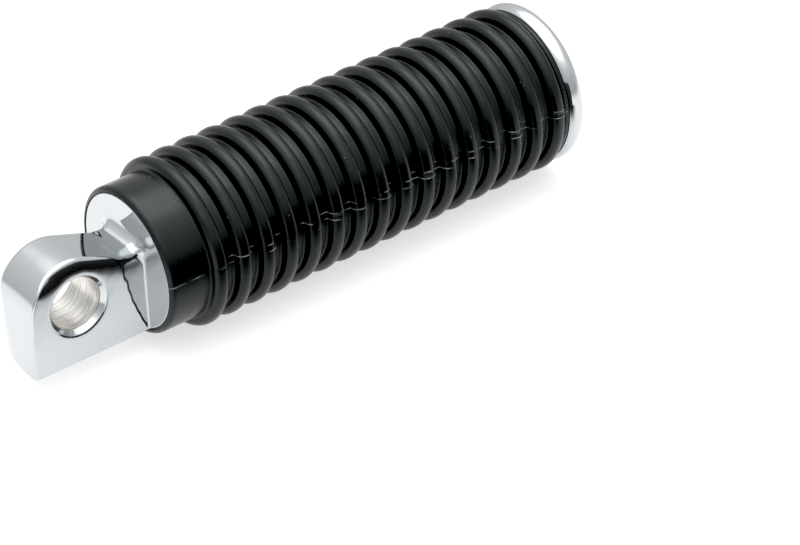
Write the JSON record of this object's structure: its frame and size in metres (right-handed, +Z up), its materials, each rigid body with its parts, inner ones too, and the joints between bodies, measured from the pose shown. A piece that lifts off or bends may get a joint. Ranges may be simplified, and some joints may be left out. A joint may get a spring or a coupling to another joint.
{
  "type": "foot peg",
  "caption": "Rider's foot peg with a flat pivot tongue, a round flange, a ribbed rubber sleeve and a domed chrome end cap.",
  "frame": {"origin": "centre of the pivot bore in the tongue", "axes": "+X out along the peg to the cap, +Y along the pivot pin, +Z up towards the rounded crown of the tongue"},
  "size_m": [0.1197, 0.0318, 0.0317],
  "materials": {
    "chrome": "polished",
    "rubber": "satin",
    "cap_chrome": "polished",
    "steel": "zinc plated"
  },
  "bodies": {
    "root": {"peg_core": "chrome", "rubber_sleeve": "rubber", "end_cap": "cap_chrome", "cap_stud": "steel"}
  },
  "joints": []
}
